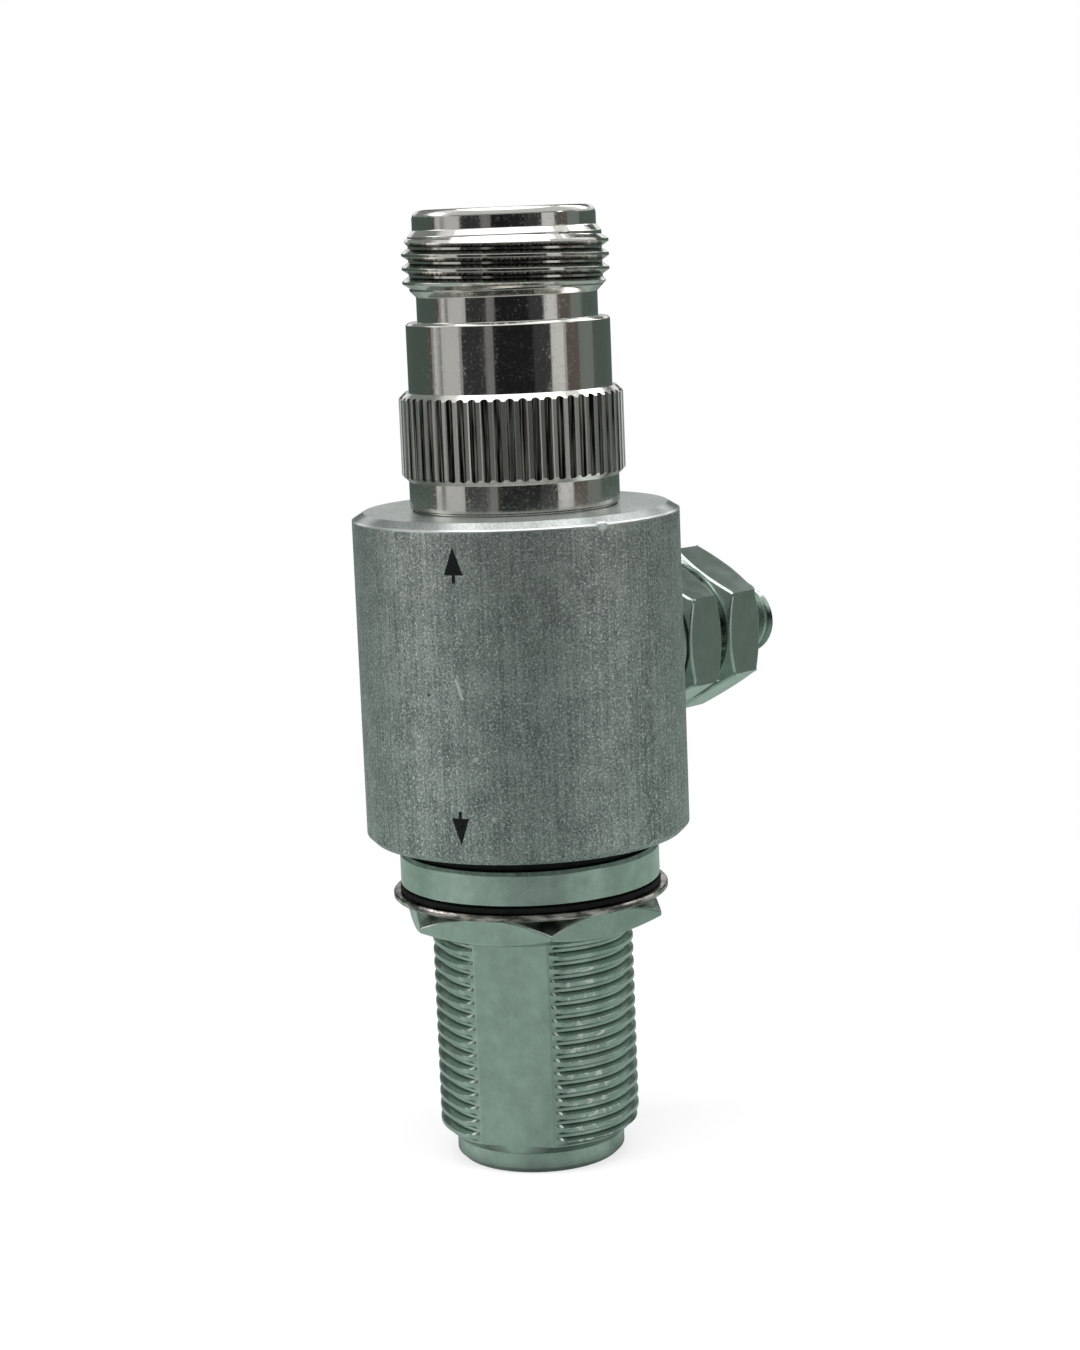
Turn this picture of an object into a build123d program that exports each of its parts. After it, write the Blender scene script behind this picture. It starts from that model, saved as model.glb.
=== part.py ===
from build123d import *
import os
from math import cos, radians, sin, sqrt, tan

# Coaxial lightning arrestor: a turned aluminium housing with a jack screwed into each end,
# a gas discharge tube in its side port, and a grounding cap that holds the tube in.
# Millimetres. The part stands on the lower jack's lip: origin at the middle of that lip's
# face, +Z up through both jacks, +X out through the grounding stud.

os.makedirs("parts", exist_ok=True)

# Thread shared by both jacks, drawn at its outer diameter
jack_thread_d = 15.875
jack_thread_clearance = 0.05

# Mating end shared by both jacks
mouth_d = 8.38
mouth_depth = 9.1
mouth_chamfer = 0.35
throat_d = 7.0
throat_length = 2.0

# Lower jack, on the antenna side, from the bottom up
antenna_lip_d = 13.35
antenna_lip_height = 1.7
antenna_lip_chamfer = 0.45
antenna_run_in = 1.1
antenna_thread_length = 19.4
antenna_flat_depth = 1.17
antenna_flat_angle = -153
flange_step = 2.29
flange_height = 2.8
flange_edge = 0.25
antenna_spigot_d = 17.2

# Mounting hardware on the lower jack, sized to its flange
gasket_overhang = 0.07
gasket_thickness = 0.4
washer_overhang = 0.62
washer_thickness = 0.5
washer_clearance = 0.08
panel_nut_inset = 0.78
panel_nut_height = 2.3
panel_nut_turn = 50

# Housing
housing_d = 25.4
housing_height = 25.66
housing_top_chamfer_width = 0.9
housing_top_chamfer_height = 0.55
housing_bottom_chamfer = 0.5
cavity_d = 9.2
seal_gap = 1.1
seal_width = 1.0

# Upper jack, on the equipment side, from the housing up
plinth_d = 16.27
plinth_height = 2.3
knurl_d = 17.3
knurl_height = 6.82
knurl_chamfer = 0.5
flute_count = 56
flute_r = 0.38
flute_depth = 0.2
barrel_d = 15.7
barrel_height = 5.27
barrel_edge = 0.2
neck_d = 13.9
neck_height = 1.9
equipment_thread_foot = 1.0
equipment_thread_length = 2.95
equipment_run_in = 1.05
equipment_lip_d = 14.07
equipment_lip_height = 1.55
equipment_lip_chamfer = 0.55
equipment_spigot_d = 14.4
top_seal_width = 0.75
top_seal_height = 1.1

# Socket contacts, beads and the conductor between them
contact_d = 3.04
contact_setback = 4.3
contact_hole_d = 1.65
contact_hole_depth = 6.0
contact_slot_width = 0.3
contact_slot_length = 4.6
contact_tip_chamfer = 0.25
stem_d = 2.0
stem_grip = 3.0
bead_recess = 0.5
bead_length = 3.5
fit_clearance = 0.02
ring_length = 2.0
ring_wall = 1.6
conductor_d = 4.0
conductor_flat = 1.8
conductor_flat_length = 6.0

# Side port with the gas tube, along +X a little above the middle of the housing
port_offset = 0.47
port_room = 5.0
gas_tube_d = 5.5
gas_tube_clearance = 0.15
electrode_thickness = 0.8
electrode_boss_d = 3.2
electrode_boss_length = 1.2
ceramic_length = 3.8
ceramic_wall = 0.85
spring_height = 0.9
spring_thickness = 0.3
spring_hole_d = 2.4
port_thread_d = 8.0
port_thread_clearance = 0.05
port_thread_start = 0.3
spot_face_depth = 1.1
spot_face_room = 0.2

# Grounding cap, its seal, washer and nut
cap_seal_section = 1.8
cap_seal_chamfer = 0.5
cap_seal_clearance = 0.1
cap_collar_d = 11.0
cap_collar_height = 0.3
hex_width = 11.75
cap_hex_height = 4.25
stud_d = 6.35
stud_length = 10.65
stud_dome = 0.6
ground_washer_inset = 0.6
ground_washer_thickness = 0.9
ground_washer_slit = 0.9
ground_washer_clearance = 0.1
ground_nut_height = 4.15
ground_nut_clearance = 0.05
hex_chamfer_angle = 30

# Levels along Z that follow from the sizes above
antenna_thread_z = antenna_lip_height + antenna_run_in
flange_z = antenna_thread_z + antenna_thread_length
seal_z = flange_z + flange_height
housing_z = seal_z + seal_gap
housing_top_z = housing_z + housing_height
port_z = housing_z + housing_height / 2 + port_offset
antenna_spigot_z = port_z - port_room
equipment_spigot_z = port_z + port_room
plinth_top_z = housing_top_z + plinth_height
knurl_top_z = plinth_top_z + knurl_height
barrel_top_z = knurl_top_z + barrel_height
neck_top_z = barrel_top_z + neck_height
equipment_thread_z = neck_top_z + equipment_thread_foot
equipment_thread_top_z = equipment_thread_z + equipment_thread_length
equipment_lip_z = equipment_thread_top_z + equipment_run_in
mouth_z = equipment_lip_z + equipment_lip_height
gasket_z = flange_z - gasket_thickness
washer_z = gasket_z - washer_thickness
panel_nut_z = washer_z - panel_nut_height

# Widths that follow: the flange from the thread, the mounting hardware from the flange, and
# the rings at the side port from its thread and its hexagons
flange_d = jack_thread_d + 2 * flange_step
gasket_d = flange_d + 2 * gasket_overhang
washer_d = flange_d + 2 * washer_overhang
panel_nut_width = flange_d - 2 * panel_nut_inset
cap_seal_inner_d = port_thread_d + 2 * cap_seal_clearance
cap_seal_outer_d = cap_seal_inner_d + 2 * cap_seal_section
spot_face_d = cap_seal_outer_d + 2 * spot_face_room
ground_washer_d = hex_width - 2 * ground_washer_inset

# Distances inward from either mouth
bead_front = mouth_depth + bead_recess
bead_step = mouth_depth + throat_length
bead_back = bead_step + bead_length

# Distances along X from the main axis
tube_x = conductor_flat
ceramic_x = tube_x + electrode_thickness
outer_electrode_x = ceramic_x + ceramic_length
spring_x = outer_electrode_x + electrode_thickness
plug_x = spring_x + spring_height
spot_face_x = housing_d / 2 - spot_face_depth
cap_collar_x = spot_face_x + cap_seal_section
cap_hex_x = cap_collar_x + cap_collar_height
ground_washer_x = cap_hex_x + cap_hex_height
ground_nut_x = ground_washer_x + ground_washer_thickness
ground_nut_end_x = ground_nut_x + ground_nut_height

port_axis = Axis((0, 0, port_z), (1, 0, 0))
port_section = Plane(origin=(0, 0, port_z), x_dir=(0, 0, 1), z_dir=(0, 1, 0))


def across_port(x):
    """The plane square to the port's axis at distance x, with its own y up."""
    return Plane(origin=(x, 0, port_z), x_dir=(0, 1, 0), z_dir=(1, 0, 0))


def ring_section(inner_d, outer_d, low, high):
    """Corners of a plain ring's half section: radius first, then distance along the axis."""
    inner_r, outer_r = inner_d / 2, outer_d / 2
    return (inner_r, low), (outer_r, low), (outer_r, high), (inner_r, high)


def hexagon_envelope(width, low, high):
    """Corners of the half section that chamfers a hexagon at both ends when it is turned."""
    face_r, corner_r = width / 2, width / sqrt(3)
    drop = (corner_r - face_r) * tan(radians(hex_chamfer_angle))
    return (
        (0, low), (face_r, low), (corner_r, low + drop),
        (corner_r, high - drop), (face_r, high), (0, high),
    )


# Housing: turned bar, bored through, with a threaded socket for a jack at each end
with BuildPart() as housing:
    with BuildSketch(Plane.XZ):
        with BuildLine():
            Polyline(
                (0, housing_z),
                (housing_d / 2 - housing_bottom_chamfer, housing_z),
                (housing_d / 2, housing_z + housing_bottom_chamfer),
                (housing_d / 2, housing_top_z - housing_top_chamfer_height),
                (housing_d / 2 - housing_top_chamfer_width, housing_top_z),
                (0, housing_top_z),
                close=True,
            )
        make_face()
    revolve(axis=Axis.Z)
    with BuildSketch(Plane.XY.offset(housing_z)):
        Circle(cavity_d / 2)
    extrude(amount=housing_height, mode=Mode.SUBTRACT)
    with BuildSketch(Plane.XY.offset(housing_z)):
        Circle(antenna_spigot_d / 2 + fit_clearance)
    extrude(amount=antenna_spigot_z - housing_z, mode=Mode.SUBTRACT)
    with BuildSketch(Plane.XY.offset(housing_top_z)):
        Circle(equipment_spigot_d / 2 + fit_clearance)
    extrude(amount=equipment_spigot_z - housing_top_z, mode=Mode.SUBTRACT)
    with BuildSketch(Plane.XY.offset(housing_top_z)):
        Circle(equipment_spigot_d / 2 + top_seal_width)
    extrude(amount=-top_seal_height, mode=Mode.SUBTRACT)
    with BuildSketch(across_port(0)):
        Circle(gas_tube_d / 2 + gas_tube_clearance)
    extrude(amount=housing_d / 2, mode=Mode.SUBTRACT)
    with BuildSketch(across_port(plug_x - port_thread_start)):
        Circle(port_thread_d / 2 + port_thread_clearance)
    extrude(amount=housing_d / 2, mode=Mode.SUBTRACT)
    with BuildSketch(across_port(spot_face_x)):
        Circle(spot_face_d / 2)
    extrude(amount=housing_d / 2, mode=Mode.SUBTRACT)
housing.part.label = "housing"

# Lower jack: one turning with pilot lip, bulkhead thread, flange and spigot
with BuildPart() as antenna_shell:
    with BuildSketch(Plane.XZ):
        with BuildLine():
            Polyline(
                (0, 0),
                (antenna_lip_d / 2, 0),
                (antenna_lip_d / 2, antenna_lip_height),
                (jack_thread_d / 2, antenna_thread_z),
                (jack_thread_d / 2, flange_z),
                (flange_d / 2, flange_z),
                (flange_d / 2, seal_z),
                (antenna_spigot_d / 2, seal_z),
                (antenna_spigot_d / 2, antenna_spigot_z),
                (0, antenna_spigot_z),
                close=True,
            )
        make_face()
    revolve(axis=Axis.Z)
    chamfer(antenna_shell.edges().group_by(Axis.Z)[0], antenna_lip_chamfer)
    flange_rims = antenna_shell.edges().filter_by(GeomType.CIRCLE).filter_by(
        lambda e: abs(e.radius - flange_d / 2) < 0.001
    )
    chamfer(flange_rims, flange_edge)
    with BuildSketch(Plane.XY):
        Circle(mouth_d / 2)
    extrude(amount=mouth_depth, mode=Mode.SUBTRACT)
    with BuildSketch(Plane.XY):
        Circle(throat_d / 2)
    extrude(amount=bead_step, mode=Mode.SUBTRACT)
    with BuildSketch(Plane.XY.offset(bead_step)):
        Circle(cavity_d / 2)
    extrude(amount=antenna_spigot_z - bead_step, mode=Mode.SUBTRACT)
    mouth_rim = antenna_shell.edges().filter_by(GeomType.CIRCLE).group_by(Axis.Z)[0]
    chamfer(mouth_rim.sort_by(SortBy.RADIUS)[0], mouth_chamfer)
    flat_plane = Plane(
        origin=(0, 0, antenna_lip_height),
        x_dir=(cos(radians(antenna_flat_angle)), sin(radians(antenna_flat_angle)), 0),
        z_dir=(0, 0, 1),
    )
    with BuildSketch(flat_plane):
        with Locations((jack_thread_d / 2 - antenna_flat_depth, 0)):
            Rectangle(jack_thread_d, jack_thread_d, align=(Align.MIN, Align.CENTER))
    extrude(amount=flange_z - antenna_lip_height, mode=Mode.SUBTRACT)
antenna_shell.part.label = "antenna_shell"

# Upper jack: one turning with spigot, plinth, knurled grip, barrel, neck, thread and lip
with BuildPart() as equipment_shell:
    with BuildSketch(Plane.XZ):
        with BuildLine():
            Polyline(
                (0, equipment_spigot_z),
                (equipment_spigot_d / 2, equipment_spigot_z),
                (equipment_spigot_d / 2, housing_top_z),
                (plinth_d / 2, housing_top_z),
                (plinth_d / 2, plinth_top_z),
                (knurl_d / 2 - knurl_chamfer, plinth_top_z),
                (knurl_d / 2, plinth_top_z + knurl_chamfer),
                (knurl_d / 2, knurl_top_z - knurl_chamfer),
                (knurl_d / 2 - knurl_chamfer, knurl_top_z),
                (barrel_d / 2, knurl_top_z),
                (barrel_d / 2, barrel_top_z - barrel_edge),
                (barrel_d / 2 - barrel_edge, barrel_top_z),
                (neck_d / 2, barrel_top_z),
                (neck_d / 2, neck_top_z),
                (jack_thread_d / 2, equipment_thread_z),
                (jack_thread_d / 2, equipment_thread_top_z),
                (equipment_lip_d / 2, equipment_lip_z),
                (equipment_lip_d / 2, mouth_z),
                (0, mouth_z),
                close=True,
            )
        make_face()
    revolve(axis=Axis.Z)
    chamfer(equipment_shell.edges().group_by(Axis.Z)[-1], equipment_lip_chamfer)
    with BuildSketch(Plane.XY.offset(plinth_top_z)):
        with PolarLocations(knurl_d / 2 - flute_depth + flute_r, flute_count):
            Circle(flute_r)
    extrude(amount=knurl_height, mode=Mode.SUBTRACT)
    with BuildSketch(Plane.XY.offset(mouth_z)):
        Circle(mouth_d / 2)
    extrude(amount=-mouth_depth, mode=Mode.SUBTRACT)
    with BuildSketch(Plane.XY.offset(mouth_z)):
        Circle(throat_d / 2)
    extrude(amount=-bead_step, mode=Mode.SUBTRACT)
    with BuildSketch(Plane.XY.offset(equipment_spigot_z)):
        Circle(cavity_d / 2)
    extrude(amount=mouth_z - bead_step - equipment_spigot_z, mode=Mode.SUBTRACT)
    mouth_rim = equipment_shell.edges().filter_by(GeomType.CIRCLE).group_by(Axis.Z)[-1]
    chamfer(mouth_rim.sort_by(SortBy.RADIUS)[0], mouth_chamfer)
equipment_shell.part.label = "equipment_shell"


# The inner pieces of a jack are the same at both ends. Each is made on a plane whose own z
# runs from the mouth's face into the jack.
def make_contact(mouth):
    """Slotted socket contact with its stem for the centre conductor."""
    with BuildPart() as contact:
        with BuildSketch(mouth.offset(contact_setback)):
            Circle(contact_d / 2)
        extrude(amount=bead_front - contact_setback)
        tip = contact.edges().filter_by(GeomType.CIRCLE).sort_by(
            lambda e: abs(mouth.to_local_coords(e.center()).Z - contact_setback)
        )
        chamfer(tip[0], contact_tip_chamfer)
        with BuildSketch(mouth.offset(bead_front)):
            Circle(stem_d / 2)
        extrude(amount=bead_back + stem_grip - bead_front)
        with BuildSketch(mouth.offset(contact_setback)):
            Circle(contact_hole_d / 2)
        extrude(amount=contact_hole_depth, mode=Mode.SUBTRACT)
        with BuildSketch(mouth.offset(contact_setback)):
            with PolarLocations(0, 2, angular_range=180):
                Rectangle(contact_d + 1, contact_slot_width)
        extrude(amount=contact_slot_length, mode=Mode.SUBTRACT)
    return contact.part


def make_bead(mouth):
    """Stepped insulating bead that holds the contact on the axis."""
    with BuildPart() as bead:
        with BuildSketch(mouth.offset(bead_front)):
            Circle(throat_d / 2 - fit_clearance)
        extrude(amount=bead_step - bead_front)
        with BuildSketch(mouth.offset(bead_step)):
            Circle(cavity_d / 2 - fit_clearance)
        extrude(amount=bead_length)
        with BuildSketch(mouth.offset(bead_front)):
            Circle(stem_d / 2 + fit_clearance)
        extrude(amount=bead_back - bead_front, mode=Mode.SUBTRACT)
    return bead.part


def make_retaining_ring(mouth):
    """Ring pressed in behind the bead."""
    with BuildPart() as ring:
        with BuildSketch(mouth.offset(bead_back)):
            Circle(cavity_d / 2 - fit_clearance)
            Circle(cavity_d / 2 - ring_wall, mode=Mode.SUBTRACT)
        extrude(amount=ring_length)
    return ring.part


antenna_mouth = Plane.XY
equipment_mouth = Plane(origin=(0, 0, mouth_z), x_dir=(1, 0, 0), z_dir=(0, 0, -1))
jack_pieces = {}
for side, mouth in (("antenna", antenna_mouth), ("equipment", equipment_mouth)):
    jack_pieces[side + "_contact"] = make_contact(mouth)
    jack_pieces[side + "_insulator"] = make_bead(mouth)
    jack_pieces[side + "_retaining_ring"] = make_retaining_ring(mouth)
for name, piece in jack_pieces.items():
    piece.label = name

# Centre conductor: rod between the two contacts, with a flat for the gas tube to bear on
with BuildPart() as centre_conductor:
    with BuildSketch(Plane.XY.offset(bead_back)):
        Circle(conductor_d / 2)
    extrude(amount=mouth_z - 2 * bead_back)
    for mouth in (antenna_mouth, equipment_mouth):
        with BuildSketch(mouth.offset(bead_back)):
            Circle(stem_d / 2 + fit_clearance)
        extrude(amount=stem_grip + fit_clearance, mode=Mode.SUBTRACT)
    with BuildSketch(across_port(conductor_flat)):
        Rectangle(conductor_d, conductor_flat_length)
    extrude(amount=conductor_d, mode=Mode.SUBTRACT)
centre_conductor.part.label = "centre_conductor"

# Gas discharge tube: a ceramic ring between two cupped electrodes
with BuildPart() as gas_tube_ceramic:
    with BuildSketch(across_port(ceramic_x)):
        Circle(gas_tube_d / 2)
        Circle(gas_tube_d / 2 - ceramic_wall, mode=Mode.SUBTRACT)
    extrude(amount=ceramic_length)
gas_tube_ceramic.part.label = "gas_tube_ceramic"

with BuildPart() as gas_tube_inner_electrode:
    with BuildSketch(across_port(tube_x)):
        Circle(gas_tube_d / 2)
    extrude(amount=electrode_thickness)
    with BuildSketch(across_port(ceramic_x)):
        Circle(electrode_boss_d / 2)
    extrude(amount=electrode_boss_length)
gas_tube_inner_electrode.part.label = "gas_tube_inner_electrode"

with BuildPart() as gas_tube_outer_electrode:
    with BuildSketch(across_port(outer_electrode_x)):
        Circle(gas_tube_d / 2)
    extrude(amount=electrode_thickness)
    with BuildSketch(across_port(outer_electrode_x)):
        Circle(electrode_boss_d / 2)
    extrude(amount=-electrode_boss_length)
gas_tube_outer_electrode.part.label = "gas_tube_outer_electrode"

# Cup spring between the tube and the plug of the cap
with BuildPart() as gas_tube_spring:
    with BuildSketch(port_section):
        with BuildLine():
            Polyline(
                (gas_tube_d / 2, spring_x),
                (gas_tube_d / 2, spring_x + spring_thickness),
                (spring_hole_d / 2, plug_x),
                (spring_hole_d / 2, plug_x - spring_thickness),
                close=True,
            )
        make_face()
    revolve(axis=port_axis)
gas_tube_spring.part.label = "gas_tube_spring"

# Grounding cap: threaded plug inward, collar, hexagon, and threaded stud outward, from one bar
with BuildPart() as ground_cap:
    with BuildSketch(across_port(cap_hex_x)):
        RegularPolygon(hex_width / 2, 6, major_radius=False, rotation=30)
    extrude(amount=cap_hex_height)
    with BuildSketch(port_section):
        with BuildLine():
            Polyline(*hexagon_envelope(hex_width, cap_hex_x, ground_washer_x), close=True)
        make_face()
    revolve(axis=port_axis, mode=Mode.INTERSECT)
    with BuildSketch(across_port(plug_x)):
        Circle(port_thread_d / 2)
    extrude(amount=cap_hex_x - plug_x)
    with BuildSketch(across_port(cap_collar_x)):
        Circle(cap_collar_d / 2)
    extrude(amount=cap_collar_height)
    chamfer(ground_cap.edges().group_by(Axis.X)[0], port_thread_start)
    with BuildSketch(across_port(ground_washer_x)):
        Circle(stud_d / 2)
    extrude(amount=stud_length)
    fillet(ground_cap.edges().group_by(Axis.X)[-1], stud_dome)
ground_cap.part.label = "ground_cap"

# Rubber ring squeezed between the spot face and the cap's hexagon
with BuildPart() as cap_seal:
    with BuildSketch(across_port(spot_face_x)):
        Circle(cap_seal_outer_d / 2)
        Circle(cap_seal_inner_d / 2, mode=Mode.SUBTRACT)
    extrude(amount=cap_seal_section)
    chamfer(cap_seal.edges().filter_by(GeomType.CIRCLE), cap_seal_chamfer)
cap_seal.part.label = "cap_seal"

# Spring lock washer under the ground nut
with BuildPart() as ground_washer:
    with BuildSketch(across_port(ground_washer_x)):
        Circle(ground_washer_d / 2)
        Circle(stud_d / 2 + ground_washer_clearance, mode=Mode.SUBTRACT)
        with Locations((0, -ground_washer_d / 4)):
            Rectangle(ground_washer_slit, ground_washer_d / 2, mode=Mode.SUBTRACT)
    extrude(amount=ground_washer_thickness)
ground_washer.part.label = "ground_washer"

# Hexagon nut on the grounding stud
with BuildPart() as ground_nut:
    with BuildSketch(across_port(ground_nut_x)):
        RegularPolygon(hex_width / 2, 6, major_radius=False, rotation=30)
    extrude(amount=ground_nut_height)
    with BuildSketch(port_section):
        with BuildLine():
            Polyline(*hexagon_envelope(hex_width, ground_nut_x, ground_nut_end_x), close=True)
        make_face()
    revolve(axis=port_axis, mode=Mode.INTERSECT)
    with BuildSketch(across_port(ground_nut_x)):
        Circle(stud_d / 2 + ground_nut_clearance)
    extrude(amount=ground_nut_height, mode=Mode.SUBTRACT)
ground_nut.part.label = "ground_nut"

# Seals between the jacks and the housing
with BuildPart() as antenna_shell_seal:
    with BuildSketch(Plane.XZ):
        with BuildLine():
            Polyline(
                *ring_section(
                    antenna_spigot_d + 2 * fit_clearance,
                    antenna_spigot_d + 2 * seal_width,
                    seal_z,
                    housing_z,
                ),
                close=True,
            )
        make_face()
    revolve(axis=Axis.Z)
antenna_shell_seal.part.label = "antenna_shell_seal"

with BuildPart() as equipment_shell_seal:
    with BuildSketch(Plane.XZ):
        with BuildLine():
            Polyline(
                *ring_section(
                    equipment_spigot_d + 2 * fit_clearance,
                    equipment_spigot_d + 2 * (top_seal_width - fit_clearance),
                    housing_top_z - top_seal_height,
                    housing_top_z,
                ),
                close=True,
            )
        make_face()
    revolve(axis=Axis.Z)
equipment_shell_seal.part.label = "equipment_shell_seal"

# Gasket, washer and nut that clamp the lower jack in a panel
with BuildPart() as panel_gasket:
    with BuildSketch(Plane.XZ):
        with BuildLine():
            Polyline(
                *ring_section(jack_thread_d + 2 * fit_clearance, gasket_d, gasket_z, flange_z),
                close=True,
            )
        make_face()
    revolve(axis=Axis.Z)
panel_gasket.part.label = "panel_gasket"

with BuildPart() as panel_washer:
    with BuildSketch(Plane.XZ):
        with BuildLine():
            Polyline(
                *ring_section(jack_thread_d + 2 * washer_clearance, washer_d, washer_z, gasket_z),
                close=True,
            )
        make_face()
    revolve(axis=Axis.Z)
panel_washer.part.label = "panel_washer"

with BuildPart() as panel_nut:
    with BuildSketch(Plane.XY.offset(panel_nut_z)):
        RegularPolygon(panel_nut_width / 2, 6, major_radius=False, rotation=panel_nut_turn)
    extrude(amount=panel_nut_height)
    with BuildSketch(Plane.XZ):
        with BuildLine():
            Polyline(*hexagon_envelope(panel_nut_width, panel_nut_z, washer_z), close=True)
        make_face()
    revolve(axis=Axis.Z, mode=Mode.INTERSECT)
    with BuildSketch(Plane.XY.offset(panel_nut_z)):
        Circle(jack_thread_d / 2 + jack_thread_clearance)
    extrude(amount=panel_nut_height, mode=Mode.SUBTRACT)
panel_nut.part.label = "panel_nut"

for piece in (
    housing.part, antenna_shell.part, equipment_shell.part, *jack_pieces.values(),
    centre_conductor.part, gas_tube_ceramic.part, gas_tube_inner_electrode.part,
    gas_tube_outer_electrode.part, gas_tube_spring.part, ground_cap.part, cap_seal.part,
    ground_washer.part, ground_nut.part, antenna_shell_seal.part, equipment_shell_seal.part,
    panel_gasket.part, panel_washer.part, panel_nut.part,
):
    export_step(piece, f"parts/{piece.label}.step")
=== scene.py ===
import math

import bmesh
import bpy
from mathutils import Matrix, Quaternion, Vector


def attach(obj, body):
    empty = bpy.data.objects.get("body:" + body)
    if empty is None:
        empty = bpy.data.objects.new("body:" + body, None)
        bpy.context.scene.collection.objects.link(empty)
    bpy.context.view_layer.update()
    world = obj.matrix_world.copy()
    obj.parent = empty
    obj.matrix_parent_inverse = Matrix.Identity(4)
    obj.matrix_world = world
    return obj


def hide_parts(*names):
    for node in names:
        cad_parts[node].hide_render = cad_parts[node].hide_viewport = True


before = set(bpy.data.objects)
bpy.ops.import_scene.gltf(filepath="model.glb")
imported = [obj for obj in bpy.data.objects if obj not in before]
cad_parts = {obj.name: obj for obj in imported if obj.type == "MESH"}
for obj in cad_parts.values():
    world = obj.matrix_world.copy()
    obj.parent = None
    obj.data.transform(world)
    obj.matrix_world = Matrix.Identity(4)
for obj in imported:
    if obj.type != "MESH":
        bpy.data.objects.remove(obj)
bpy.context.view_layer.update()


# Housing: round aluminium bar, turned all over and bored through for the two jacks, with a
# spot face and a threaded port milled into its +X side. Its skin is blasted and clear
# anodised over the bar's lengthwise marks, and a knock raised a small burr on its top edge.
housing_outline = (
    (12.2, 26.1), (12.7, 26.6), (12.7, 38), (12.7, 50.3), (12.7, 50.75), (12.7, 51.0), (12.7, 51.21),
    (12.4, 51.393), (12.1, 51.577), (11.8, 51.76), (11.3, 51.76), (7.95, 51.76), (7.95, 50.66),
    (7.22, 50.66), (7.22, 44.4), (4.6, 44.4), (4.6, 34.4), (8.62, 34.4), (8.62, 26.1),
)
port_outline = ((0, 0), (2.9, 0), (2.9, 8.9), (4.05, 8.9), (4.05, 11.6), (6.1, 11.6), (6.1, 14), (0, 14))
port_height = 39.4
millimetres = Matrix.Scale(0.001, 4)
along_port = Matrix.Translation((0, 0, port_height)) @ Matrix.Rotation(math.radians(90), 4, "Y")


def made(bm, name):
    """Makes a bmesh an object of the scene."""
    mesh = bpy.data.meshes.new(name)
    bm.to_mesh(mesh)
    bm.free()
    obj = bpy.data.objects.new(name, mesh)
    bpy.context.scene.collection.objects.link(obj)
    return obj


def ring(bm, radius, height, angles):
    """Corners round the Z axis, or one corner on it over and over."""
    if radius < 1e-6:
        return [bm.verts.new((0, 0, height))] * len(angles)
    return [bm.verts.new((radius * math.cos(angle), radius * math.sin(angle), height)) for angle in angles]


def band(bm, low, high):
    """Joins two rings by faces, which are triangles where one ring is a point."""
    for corner, after, above, above_after in zip(low, low[1:] + low[:1], high, high[1:] + high[:1]):
        corners = list(dict.fromkeys((corner, after, above_after, above)))
        if len(corners) > 2:
            bm.faces.new(corners)


def turned(name, outline, segments=256, place=None):
    """A body turned on a lathe, in mm: outline is its half section as (radius, height)
    points, run anticlockwise, and place turns and moves it off the Z axis."""
    bm = bmesh.new()
    angles = [2 * math.pi * step / segments for step in range(segments)]
    rings = [ring(bm, radius, height, angles) for radius, height in outline]
    for low, high in zip(rings, rings[1:] + rings[:1]):
        band(bm, low, high)
    bmesh.ops.recalc_face_normals(bm, faces=bm.faces)
    obj = made(bm, name)
    if place:
        obj.data.transform(place)
    return obj


def machined(obj, operation, cutter):
    """Cuts the cutter away, or keeps only what lies in it."""
    modifier = obj.modifiers.new("machined", "BOOLEAN")
    modifier.operation = operation
    modifier.solver = "EXACT"
    modifier.object = cutter
    settled(obj)
    bpy.data.objects.remove(cutter)


def settled(obj):
    """Works the object's modifiers into a plain mesh."""
    bpy.context.view_layer.update()
    shown = obj.evaluated_get(bpy.context.evaluated_depsgraph_get())
    mesh = bpy.data.meshes.new_from_object(shown)
    mesh.name = obj.name
    obj.modifiers.clear()
    obj.data = mesh


def eased(obj, width, segments=2, clamped=True):
    """Breaks every sharp edge, as deburring and plating leave it."""
    modifier = obj.modifiers.new("eased", "BEVEL")
    modifier.width = width
    modifier.segments = segments
    modifier.limit_method = "ANGLE"
    modifier.angle_limit = math.radians(25)
    modifier.use_clamp_overlap = clamped
    settled(obj)


def fitted(obj, node, body, material, place=None):
    """Shades a finished piece, flat faces flat, and puts it in its place, in metres, for the
    CAD node that it stands for."""
    obj.data.shade_smooth()
    obj.data.set_sharp_from_angle(angle=math.radians(32))
    modifier = obj.modifiers.new("flat faces", "WEIGHTED_NORMAL")
    modifier.mode = "FACE_AREA"
    modifier.weight = 100
    modifier.thresh = 0
    modifier.keep_sharp = True
    settled(obj)
    obj.data.transform(millimetres @ place if place else millimetres)
    obj.data.materials.clear()
    obj.data.materials.append(material)
    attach(obj, body)
    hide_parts(node)


def colour(code):
    """The linear colour of an sRGB hex value."""
    parts = [int(code[i:i + 2], 16) / 255 for i in (1, 3, 5)]
    return (*(c / 12.92 if c <= 0.04045 else ((c + 0.055) / 1.055) ** 2.4 for c in parts), 1)


def emptied(owner):
    """The cleared node tree of a material or world."""
    owner.use_nodes = True
    owner.node_tree.nodes.clear()
    return owner.node_tree


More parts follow.
